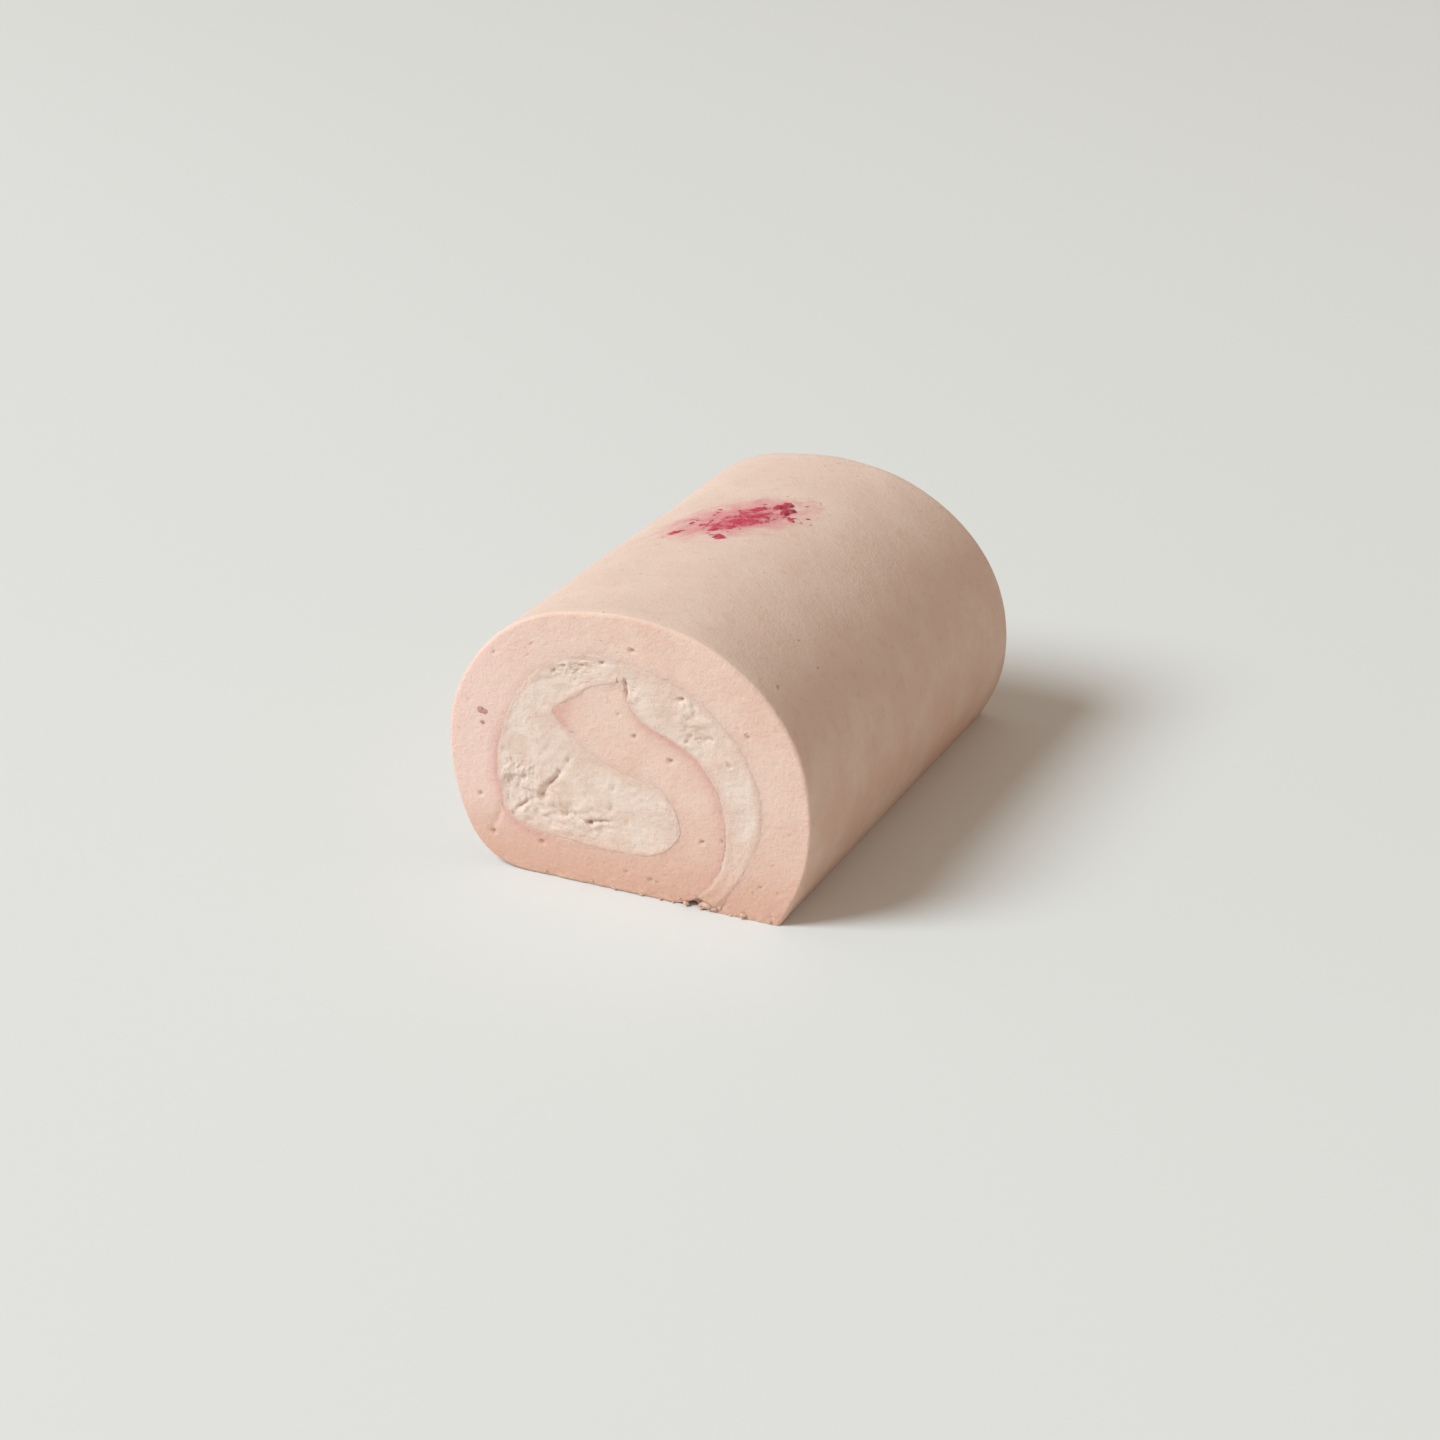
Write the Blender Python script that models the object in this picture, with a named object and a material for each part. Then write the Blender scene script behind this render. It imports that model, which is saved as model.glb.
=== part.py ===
"""Strawberry swiss roll cake: one sheet of sponge rolled once around a thick filling of cream.

The roll lies on its flat underside, with its length along Y and its level cut at -Y. Seen there,
the sheet starts as a wide tongue in the middle, runs down to the right, left along the underside,
up the left side, over the top and down the right side, and ends in a tail on the table. The cream
fills everything between the sheet's walls. Metres, +Z up, origin under the middle of the roll.
"""
import bmesh
import bpy
import numpy as np

NAME = "swiss_roll_cake"

# Driving dimensions, in metres and degrees.
LENGTH = 0.145            # along the underside, where the roll is longest
END_SLANT = 0.165         # how far the rear cut leans forwards, per metre of height
GAP = 0.0003              # clearance between the sponge and the cream
PRESSED = 0.0004          # how far the roll's own weight presses its underside flat
STATION = 0.0008          # spacing of the outline's points along the sheet
EASE = 0.003              # the sheet eases from one row of the table to the next over this distance
TONGUE_TIP = (-0.0108, 0.0541)  # middle of the sheet's inner end, before the roll is centred

# The sheet as it is rolled: distance along it, direction it runs in, and its thickness there.
# Directions are counted from +X towards +Z, and fall as the sheet turns clockwise.
SHEET = (
    (0.000, -60.0, 0.0248),   # wide, blunt tip of the tongue
    (0.009, -47.0, 0.0201),
    (0.020, -12.0, 0.0170),   # the tongue bends out to the right
    (0.027, -20.0, 0.0160),
    (0.040, -68.0, 0.0155),   # and turns down
    (0.052, -98.0, 0.0146),
    (0.060, -129.0, 0.0163),
    (0.070, -173.0, 0.0141),
    (0.076, -178.0, 0.0120),  # flat along the table
    (0.103, -184.0, 0.0132),
    (0.112, -192.0, 0.0147),
    (0.122, -247.0, 0.0138),  # lower left bend
    (0.150, -284.0, 0.0160),
    (0.172, -314.0, 0.0141),
    (0.195, -354.0, 0.0114),  # thinnest on top of the roll
    (0.222, -378.0, 0.0149),
    (0.250, -415.0, 0.0152),
    (0.270, -445.0, 0.0139),
    (0.290, -474.0, 0.0149),
    (0.316, -497.0, 0.0165),  # the tail, which the table cuts off square
)
CREAM_FROM = 0.0635       # the cream starts here, under the curl's outer wall
CREAM_TO = 0.3090         # and ends here, on the tail's inner wall


def clear_scene():
    """Removes whatever the file opened with."""
    for obj in list(bpy.data.objects):
        bpy.data.objects.remove(obj)


def make_material(name, color, roughness):
    """A plain Principled material."""
    material = bpy.data.materials.new(name)
    material.use_nodes = True
    shader = material.node_tree.nodes["Principled BSDF"]
    shader.inputs["Base Color"].default_value = (*color, 1.0)
    shader.inputs["Roughness"].default_value = roughness
    shader.inputs["Metallic"].default_value = 0.0
    material.diffuse_color = (*color, 1.0)
    return material


def eased(distance, along, values):
    """Reads a column of the table, with its corners rounded off."""
    offsets = np.linspace(-EASE, EASE, 7)
    return sum(np.interp(distance + offset, along, values) for offset in offsets) / len(offsets)


def walk_sheet(step=0.0002):
    """Follows the sheet's directions and returns distances, outer wall and inner wall."""
    along, direction, thickness = (np.array(column) for column in zip(*SHEET))
    distance = np.arange(0.0, along[-1], step)
    angle = np.radians(eased(distance, along, direction))
    half = eased(distance, along, thickness)[:, None] / 2
    middle = np.cumsum(np.column_stack((np.cos(angle), np.sin(angle))) * step, axis=0)
    middle += TONGUE_TIP
    left = np.column_stack((-np.sin(angle), np.cos(angle)))
    return distance, middle + left * half, middle - left * half


def stop_at_table(distance, wall):
    """Lowers a wall onto the table, which flattens the underside and cuts off the tail."""
    wall = wall - (0.0, PRESSED)
    on_tail = distance > CREAM_TO / 2
    end = np.flatnonzero(on_tail & (wall[:, 1] < 0.0))[0] + 1
    wall[:, 1] = np.maximum(wall[:, 1], 0.0)
    return distance[:end], wall[:end]


def thin_out(distance, wall, start=0.0, stop=None):
    """Evenly spaced points on a wall, from one distance along the sheet to another."""
    stop = distance[-1] if stop is None else stop
    count = int(round((stop - start) / STATION)) + 1
    wanted = np.linspace(start, stop, count)
    return np.column_stack([np.interp(wanted, distance, wall[:, axis]) for axis in (0, 1)])


def inset(outline, gap):
    """Moves each side of a closed outline inwards by the gap."""
    before = outline - np.roll(outline, 1, axis=0)
    after = np.roll(outline, -1, axis=0) - outline
    normals = []
    for edge in (before, after):
        edge = edge / np.linalg.norm(edge, axis=1)[:, None]
        normals.append(np.column_stack((edge[:, 1], -edge[:, 0])))
    mitre = normals[0] + normals[1]
    mitre /= np.sum(mitre * normals[0], axis=1)[:, None]
    x, z = outline.T
    signed_area = np.sum(x * np.roll(z, -1) - np.roll(x, -1) * z)
    return outline - np.sign(signed_area) * mitre * gap


def make_piece(name, outline, material, collection):
    """Extrudes an outline drawn in X and Z along the roll, then leans its rear end forwards."""
    curve = bpy.data.curves.new(name, "CURVE")
    curve.dimensions = "2D"
    curve.fill_mode = "BOTH"
    curve.extrude = LENGTH / 2
    spline = curve.splines.new("POLY")
    spline.points.add(len(outline) - 1)
    spline.use_cyclic_u = True
    for point, (x, z) in zip(spline.points, outline):
        point.co = (x, z, 0.0, 1.0)
    drawn = bpy.data.objects.new(name + "_outline", curve)
    drawn.rotation_euler = (np.pi / 2, 0.0, 0.0)
    collection.objects.link(drawn)
    bpy.context.view_layer.update()

    evaluated = drawn.evaluated_get(bpy.context.evaluated_depsgraph_get())
    mesh = bpy.data.meshes.new_from_object(evaluated)
    mesh.transform(drawn.matrix_world)
    bpy.data.objects.remove(drawn)

    cake = bmesh.new()
    cake.from_mesh(mesh)
    bmesh.ops.remove_doubles(cake, verts=cake.verts, dist=0.00001)
    for vertex in cake.verts:
        if vertex.co.y > 0.0:
            vertex.co.y -= END_SLANT * vertex.co.z
    bmesh.ops.recalc_face_normals(cake, faces=cake.faces)
    cake.to_mesh(mesh)
    cake.free()

    mesh.name = name
    mesh.materials.clear()
    mesh.materials.append(material)
    mesh.shade_smooth()
    mesh.set_sharp_from_angle(angle=np.radians(40))
    piece = bpy.data.objects.new(name, mesh)
    collection.objects.link(piece)
    return piece


def main():
    clear_scene()
    collection = bpy.data.collections.new(NAME)
    bpy.context.scene.collection.children.link(collection)

    distance, outer, inner = walk_sheet()
    shift = (outer[:, 0].min() + outer[:, 0].max()) / 2
    outer[:, 0] -= shift
    inner[:, 0] -= shift
    outer_wall = stop_at_table(distance, outer)
    inner_wall = stop_at_table(distance, inner)

    sponge = np.vstack((thin_out(*outer_wall), thin_out(*inner_wall)[::-1]))
    cream = np.vstack((
        thin_out(*outer_wall, stop=CREAM_FROM),
        thin_out(*inner_wall, stop=CREAM_TO)[::-1],
    ))

    sponge_pink = make_material("sponge", (0.80, 0.55, 0.45), 0.85)
    cream_white = make_material("cream", (0.82, 0.70, 0.60), 0.55)
    make_piece("sponge", sponge, sponge_pink, collection)
    make_piece("cream", inset(cream, GAP), cream_white, collection)


main()
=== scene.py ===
import math
from itertools import product

import bpy
import numpy as np
from mathutils import Matrix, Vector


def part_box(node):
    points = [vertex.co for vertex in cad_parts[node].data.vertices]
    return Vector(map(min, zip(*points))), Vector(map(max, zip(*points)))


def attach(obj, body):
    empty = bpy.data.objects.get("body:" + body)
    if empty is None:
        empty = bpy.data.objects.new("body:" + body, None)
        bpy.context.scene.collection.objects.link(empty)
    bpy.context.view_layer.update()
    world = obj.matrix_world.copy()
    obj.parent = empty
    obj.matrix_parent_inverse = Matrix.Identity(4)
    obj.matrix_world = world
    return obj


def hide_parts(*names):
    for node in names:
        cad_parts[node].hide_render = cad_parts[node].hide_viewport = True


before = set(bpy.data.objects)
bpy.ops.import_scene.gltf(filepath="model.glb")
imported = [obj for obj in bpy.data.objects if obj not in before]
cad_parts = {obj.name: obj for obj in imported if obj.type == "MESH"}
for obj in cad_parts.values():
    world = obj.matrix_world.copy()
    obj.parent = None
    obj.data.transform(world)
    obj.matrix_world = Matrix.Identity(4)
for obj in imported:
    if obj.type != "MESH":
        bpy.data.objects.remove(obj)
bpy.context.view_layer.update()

spongeLow, spongeHigh = (np.array(corner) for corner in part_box("sponge"))
mm = 0.001

# What the whole roll shares: how the sheet is rolled up, and how its ends are cut. Metres.
roll = {
    # distance along the sheet, direction it runs in (degrees from +X towards +Z), thickness
    "sheet": (
        (0.000, -60.0, 0.0248), (0.009, -47.0, 0.0201), (0.020, -12.0, 0.0170), (0.027, -20.0, 0.0160),
        (0.040, -68.0, 0.0155), (0.052, -98.0, 0.0146), (0.060, -129.0, 0.0163), (0.070, -173.0, 0.0141),
        (0.076, -178.0, 0.0120), (0.103, -184.0, 0.0132), (0.112, -192.0, 0.0147), (0.122, -247.0, 0.0138),
        (0.150, -284.0, 0.0160), (0.172, -314.0, 0.0141), (0.195, -354.0, 0.0114), (0.222, -378.0, 0.0149),
        (0.250, -415.0, 0.0152), (0.270, -445.0, 0.0139), (0.290, -474.0, 0.0149), (0.316, -497.0, 0.0165),
    ),
    "tongueTip": (-0.0108, 0.0541),   # x and z of the middle of the sheet's blunt first end
    "tipBulge": 1.6 * mm,     # how far that end swells out
    "ease": 0.003,            # rounds the path's corners over this distance
    "step": 0.0002,           # spacing of the points worked out along the sheet
    "outside": 0.2,           # past this distance the sheet is the outside of the roll
    "pressed": 0.0004,        # how far the underside is flattened by the table
    "endSlant": 0.165,        # how far the rear cut leans forward for each metre of height
    "frontY": float(spongeLow[1]),
    "rearY": float(spongeHigh[1]),
}


# what the three axes and the seed are multiplied by, and what then mixes the bits
hashFactors = np.array([73856093, 19349663, 83492791, 40503], np.int64)
bitMixers = (0xFF51AFD7ED558CCD, 0xC4CEB9FE1A85EC53)


# Random numbers from -1 to 1, one for each whole-number lattice point, by mixing the point's bits.
def latticeValues(corner, seed):
    key = (corner @ hashFactors[: corner.shape[-1]] + seed * hashFactors[-1]).astype(np.uint64)
    for mixer in bitMixers:
        key = (key ^ (key >> np.uint64(33))) * np.uint64(mixer)
    return (key >> np.uint64(40)).astype(float) / 2**23 - 1


# Smooth noise: the lattice's values, blended between the nearest corners by 3t^2 - 2t^3 on each axis.
def smoothNoise(points, size, seed):
    cell = points / size
    corner = np.floor(cell).astype(np.int64)
    t = cell - corner
    t = t * t * (3 - 2 * t)
    total = np.zeros(points.shape[:-1])
    for offset in product((0, 1), repeat=points.shape[-1]):
        share = np.prod(np.where(np.array(offset) == 1, t, 1 - t), axis=-1)
        total += share * latticeValues(corner + np.array(offset), seed)
    return total


# Layers of smooth noise, each half the size and a set share of the height of the one before.
def layeredNoise(points, size, seed, layers=3, share=0.5):
    heights = share ** np.arange(layers)
    return sum(
        height * smoothNoise(points, size / 2**layer, seed + layer)
        for layer, height in enumerate(heights)
    ) / heights.sum()


# 0 at start, 1 at stop, and 3t^2 - 2t^3 between them.
def smoothStep(value, start, stop):
    t = np.clip((value - start) / (stop - start), 0, 1)
    return t * t * (3 - 2 * t)


# Each vector divided by its length.
def unit(vectors):
    return vectors / np.linalg.norm(vectors, axis=-1)[..., None]


# exp(-(r / reach)^2) for points at a distance r from x, z.
def nearSpot(points, x, z, reach):
    return np.exp(-(((points - (x, z)) ** 2).sum(-1)) / reach**2)


# x and y turned by an angle in degrees: (x cos - y sin, x sin + y cos).
def turned(x, y, angle):
    c, s = math.cos(math.radians(angle)), math.sin(math.radians(angle))
    return x * c - y * s, x * s + y * c


# A column of the sheet's table at each distance, averaged over the ease so that its corners are round.
def sheetColumn(distance, column, samples=7):
    along = [row[0] for row in roll["sheet"]]
    values = [row[column] for row in roll["sheet"]]
    offsets = np.linspace(-roll["ease"], roll["ease"], samples)
    return sum(np.interp(distance + offset, along, values) for offset in offsets) / len(offsets)


# The middle line is the running sum of the sheet's direction. A wall lies half a thickness to its left
# or right. Both are centred on the sponge's box and lowered onto the table.
def walkSheet():
    step = roll["step"]
    distance = np.arange(0, roll["sheet"][-1][0], step)
    angle = np.radians(sheetColumn(distance, 1))
    half = sheetColumn(distance, 2)[:, None] / 2
    middle = np.cumsum(np.column_stack((np.cos(angle), np.sin(angle))) * step, axis=0)
    middle += roll["tongueTip"]
    left = np.column_stack((-np.sin(angle), np.cos(angle)))
    outer, inner = middle + left * half, middle - left * half
    centreX = (spongeLow[0] + spongeHigh[0] - outer[:, 0].min() - outer[:, 0].max()) / 2
    for wall in (outer, inner):
        wall += (centreX, -roll["pressed"])
    return distance, outer, inner


walked, outerWall, innerWall = walkSheet()


# A wall's x and z at any distance, between the points walked.
def wallPoint(wall, distance):
    return np.stack([np.interp(distance, walked, wall[:, axis]) for axis in (0, 1)], axis=-1)


# Where a wall of the tail comes down to the table.
def tailEnd(wall):
    return walked[(walked > roll["outside"]) & (wall[:, 1] < 0)][0]


# How far the tongue's end stands out from a straight cut: a swell of sin(pi * share), with its corners
# set back by |2 * share - 1|^6, and some noise.
def tipShape(share):
    share = np.clip(share, 0, 1)
    uneven = 0.35 * smoothNoise(share[..., None] * 24 + 3.0, 4.0, 17)
    corners = 0.35 * np.abs(2 * share - 1) ** 6
    return roll["tipBulge"] * (np.sin(math.pi * share) - corners + uneven)


# The rear cut's y, which moves forward with height.
def rearFace(z):
    return roll["rearY"] - roll["endSlant"] * z


print("walls of the sheet worked out")


# Closed bodies from points[body, row, ring]: quads between neighbouring rows, whose rings are closed,
# and one face over each end. The volume's sign says which way the faces look, and turns them outwards.
def ringMesh(name, points, materials, materialOfCell=0):
    bodies, rows, ring = points.shape[:3]
    index = np.arange(bodies * rows * ring).reshape(bodies, rows, ring)
    ahead = np.roll(index, -1, axis=2)
    quads = np.stack((index[:, :-1], ahead[:, :-1], ahead[:, 1:], index[:, 1:]), axis=-1).reshape(-1, 4)
    ends = np.concatenate((index[:, 0, ::-1], index[:, -1]))
    flat = points.reshape(-1, 3)
    a, b, c, d = (flat[quads[:, k]] for k in range(4))
    volume = np.einsum("ij,ij->", a, np.cross(b, c)) + np.einsum("ij,ij->", a, np.cross(c, d))
    if volume < 0:
        quads, ends = quads[:, ::-1], ends[:, ::-1]
    corners = np.concatenate((quads.ravel(), ends.ravel()))
    starts = np.concatenate((np.arange(len(quads)) * 4, len(quads) * 4 + np.arange(len(ends)) * ring))
    cells = np.broadcast_to(materialOfCell, (bodies, rows - 1, ring)).ravel()
    endCells = np.zeros(len(ends))

    mesh = bpy.data.meshes.new(name)
    mesh.vertices.add(len(flat))
    mesh.vertices.foreach_set("co", flat.astype(np.float32).ravel())
    mesh.loops.add(len(corners))
    mesh.loops.foreach_set("vertex_index", corners.astype(np.int32))
    mesh.polygons.add(len(starts))
    mesh.polygons.foreach_set("loop_start", starts.astype(np.int32))
    mesh.update(calc_edges=True)
    for material in materials:
        mesh.materials.append(material)
    mesh.polygons.foreach_set("material_index", np.append(cells, endCells).astype(np.int32))
    mesh.polygons.foreach_set("use_smooth", np.append(np.ones(len(quads)), endCells).astype(bool))
    piece = bpy.data.objects.new(name, mesh)
    bpy.context.scene.collection.objects.link(piece)
    return piece


# One number for each point of a piece, for its material to read.
def giveAttribute(piece, name, values):
    layer = piece.data.attributes.new(name, "FLOAT", "POINT")
    layer.data.foreach_set("value", np.ravel(values).astype(np.float32))


# A ring round a slab's section, from the skin's front corner over the front face, the inner wall, the
# rear face and back along the skin. Each point is: depth = flat + share * thickness below the skin,
# and y = front * (1 - along) + rear * along + lift. Corners are quarter circles.
def sectionRing(faceCells, wallCells, skinCells, skinRound, wallRound, cornerCells=4):
    turn = np.linspace(0, math.pi / 2, cornerCells + 1)
    out, back = 1 - np.cos(turn), 1 - np.sin(turn)
    front = np.linspace(0, 1, faceCells[0] + 1)[1:-1]
    rear = np.linspace(1, 0, faceCells[1] + 1)[1:-1]
    wall = np.linspace(0, 1, wallCells + 1)[1:-1]
    skin = np.linspace(1, 0, skinCells + 1)[1:-1]
    s, w = skinRound, wallRound
    parts = [    # flat, share, along, lift, on front, on rear, on skin
        (s * out, 0, 0, s * back, np.sin(turn), 0, np.cos(turn)),
        (s - (s + w) * front, front, 0, 0, 1, 0, 0),
        (-w * back, 1, 0, w * out, np.cos(turn), 0, 0),
        (0, 1, wall, w * (1 - 2 * wall), 0, 0, 0),
        (-w * out, 1, 1, -w * back, 0, np.sin(turn), 0),
        (s - (s + w) * rear, rear, 1, 0, 0, 1, 0),
        (s * back, 0, 1, -s * out, 0, np.cos(turn), np.sin(turn)),
        (0, 0, skin, s * (1 - 2 * skin), 0, 0, 1),
    ]
    columns = [[] for _ in range(7)]
    for part in parts:
        count = max(np.size(value) for value in part)
        for column, value in zip(columns, part):
            column.append(np.broadcast_to(value, count))
    return [np.concatenate(column) for column in columns]


# How deep a face is marked at each point. A pore is a round bowl, depth * (1 - (r / radius)^2)^2,
# stretched along its own direction, with its outline pushed about by noise.
def poreDepth(points, pores, ragged=0.35):
    depth = np.zeros(points.shape[:-1])
    size = np.median(np.array(pores)[:, 2])
    push = np.stack([smoothNoise(points, 1.6 * size, k) for k in (91, 92)], axis=-1) * ragged * size
    points = points + push
    for x, z, radius, deep, stretch, lean in pores:
        near = points - (x, z)
        c, s = math.cos(lean), math.sin(lean)
        a, b = near[..., 0] * c + near[..., 1] * s, near[..., 1] * c - near[..., 0] * s
        away = (a / (radius * stretch)) ** 2 + (b / radius) ** 2
        depth = np.maximum(depth, deep * np.clip(1 - away, 0, 1) ** 2)
    return depth


# Pores strewn at random over a rectangle: mostly small ones, by a power of a random number.
def strewnPores(seed, count, low, high, smallest, largest):
    rng = np.random.default_rng(seed)
    place = rng.uniform(low, high, (count, 2))
    radius = smallest + (largest - smallest) * rng.random(count) ** 3
    deep = radius * rng.uniform(0.3, 0.8, count)
    return np.column_stack((place, radius, deep, rng.uniform(1, 1.9, count), rng.uniform(-0.6, 0.6, count)))


# A crack's depth falls off from its line as exp(-(distance / width)^2), and thins towards both ends.
def crackDepth(points, cracks, seed):
    wobble = np.stack([smoothNoise(points, 2.2 * mm, seed + k) for k in (0, 1)], axis=-1) * 0.45 * mm
    points = points + wobble
    depth = np.zeros(points.shape[:-1])
    for width, deep, line in cracks:
        line = np.array(line) * mm
        pieces = list(zip(line[:-1], line[1:]))
        run = 0
        whole = sum(np.linalg.norm(b - a) for a, b in pieces)
        for a, b in pieces:
            length = np.linalg.norm(b - a)
            t = np.clip((points - a) @ (b - a) / length**2, 0, 1)
            away = np.linalg.norm(points - a - t[..., None] * (b - a), axis=-1)
            share = (run + t * length) / whole
            thin = np.clip(4 * share * (1 - share), 0, 1) ** 0.4
            reach = width * mm * (0.35 + 0.65 * thin)
            depth = np.maximum(depth, deep * mm * thin * np.exp(-((away / reach) ** 2)))
            run += length
    return depth


glowDepth = 0.003    # how far light gets into the cake


# A new material with its shader's fixed values set; shine is the strength of its highlights.
def startMaterial(name, roughness, subsurface=0.0, radius=(1, 1, 1), shine=0.3):
    material = bpy.data.materials.new(name)
    material.use_nodes = True
    shader = material.node_tree.nodes["Principled BSDF"]
    shader.inputs["Roughness"].default_value = roughness
    shader.inputs["Specular IOR Level"].default_value = shine
    shader.inputs["Subsurface Weight"].default_value = subsurface
    shader.inputs["Subsurface Radius"].default_value = radius
    shader.inputs["Subsurface Scale"].default_value = glowDepth
    return material, material.node_tree, shader


# Links a socket to another one, or sets it to a colour or number.
def fillSocket(tree, socket, value):
    if isinstance(value, bpy.types.NodeSocket):
        tree.links.new(value, socket)
    else:
        socket.default_value = (*value, 1) if isinstance(value, tuple) and socket.type == "RGBA" else value


# A shader node with its settings made and its named inputs filled.
def addNode(tree, kind, settings=None, **inputs):
    node = tree.nodes.new("ShaderNode" + kind)
    for name, value in (settings or {}).items():
        setattr(node, name, value)
    for name, value in inputs.items():
        fillSocket(tree, node.inputs[name], value)
    return node


# a and b joined by one operation.
def maths(tree, operation, a, b=0.5):
    node = addNode(tree, "Math", {"operation": operation})
    fillSocket(tree, node.inputs[0], a)
    fillSocket(tree, node.inputs[1], b)
    return node.outputs[0]


# low where the value is at start and high where it is at stop, with a smooth step between.
def ramp(tree, value, start, stop, low=0.0, high=1.0):
    node = addNode(tree, "MapRange", {"interpolation_type": "SMOOTHSTEP"}, Value=value)
    for name, number in (("From Min", start), ("From Max", stop), ("To Min", low), ("To Max", high)):
        node.inputs[name].default_value = number
    return node.outputs[0]


# under where the factor is 0 and over where it is 1. The Mix node keeps its colours in sockets 6 and 7.
def mixColors(tree, factor, under, over):
    node = addNode(tree, "Mix", {"data_type": "RGBA"})
    for slot, value in ((0, factor), (6, under), (7, over)):
        fillSocket(tree, node.inputs[slot], value)
    return node.outputs[2]


# A number that giveAttribute has put on the piece.
def attribute(tree, name):
    return addNode(tree, "Attribute", {"attribute_name": name}).outputs["Fac"]


# The place on the piece, in metres.
def objectPlace(tree):
    return addNode(tree, "TexCoord").outputs["Object"]


# Noise whose largest lumps are of the size given, in metres.
def noiseNode(tree, size, detail=3, place=None, roughness=0.55):
    place = place or objectPlace(tree)
    node = addNode(tree, "TexNoise", Vector=place, Scale=1 / size, Detail=detail, Roughness=roughness)
    return node.outputs[0]


# The color covered by over, as strongly as a mask times a strength.
def cover(tree, color, mask, strength, over):
    return mixColors(tree, maths(tree, "MULTIPLY", mask, strength), color, over)


# An attribute whose edge is broken up by noise, so that it ends in a ragged line.
def raggedAttribute(tree, name, size, spread=0.8):
    broken = maths(tree, "MULTIPLY", maths(tree, "SUBTRACT", noiseNode(tree, size, 4)), spread)
    return ramp(tree, maths(tree, "ADD", attribute(tree, name), broken), 0.15, 0.85)


# Bubbles of crumb: distance from the middle of each cell of a Voronoi pattern, whose space noise has
# pushed by warp cells, and a random number for each cell.
def bubbles(tree, size, warp=1.6):
    drift = addNode(tree, "TexNoise", Vector=objectPlace(tree), Scale=0.7 / size, Detail=2.0).outputs["Color"]
    push = addNode(tree, "VectorMath", {"operation": "SCALE"}, Vector=drift, Scale=size * warp).outputs[0]
    place = addNode(tree, "VectorMath", {"operation": "ADD"})
    fillSocket(tree, place.inputs[0], objectPlace(tree))
    fillSocket(tree, place.inputs[1], push)
    cells = addNode(tree, "TexVoronoi", Vector=place.outputs[0], Scale=1 / size)
    own = addNode(tree, "SeparateColor", Color=cells.outputs["Color"]).outputs[0]
    return cells.outputs["Distance"], own


# Only the bubbles whose own random number is high enough, as round holes of a radius in cells.
def openBubbles(tree, size, share, radius, fade=0.08):
    distance, own = bubbles(tree, size)
    kept = ramp(tree, own, 1 - share, 1 - share + fade)
    return maths(tree, "MULTIPLY", kept, ramp(tree, distance, radius, radius * 0.4))


# Layers of height, each with how far it reaches in metres and its strength, bent into one normal.
def bump(tree, shader, layers):
    normal = None
    for height, distance, strength in layers:
        node = addNode(tree, "Bump", Height=height, Distance=distance, Strength=strength)
        if normal:
            tree.links.new(normal, node.inputs["Normal"])
        normal = node.outputs[0]
    tree.links.new(normal, shader.inputs["Normal"])


# Sizes and heights of the looks are in metres.
crumbLook = {
    "color": (0.790, 0.555, 0.460),
    "pale": (0.830, 0.615, 0.520),    # in clouds
    "light": (0.860, 0.635, 0.560),   # painted light on the side towards -X, where the key light falls
    "deep": (0.700, 0.420, 0.315),    # near the table: painted warm bounce light and shade
    "moist": (0.730, 0.400, 0.350),   # where cream soaked in; also painted shade in the coarse bubbles' middles
    # painted shade in pores, holes and creases
    "hollowShade": (0.560, 0.330, 0.250),
    "cream": (0.815, 0.635, 0.545),   # smeared over the crumb's edge
    "paintedLightAcross": (-0.010, -0.045),  # x where the painted light on that side begins and ends
    "paintedBounceBelow": (0.024, 0.002),      # z where the painted bounce and shade begins, and where it is strongest
    "cloudSize": 0.011,
    "bubbleSizes": (0.0012, 0.0006),
    "grainSize": 0.0006,
    "holeSize": 0.0022,
    "raggedSize": 0.0016,
}


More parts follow.
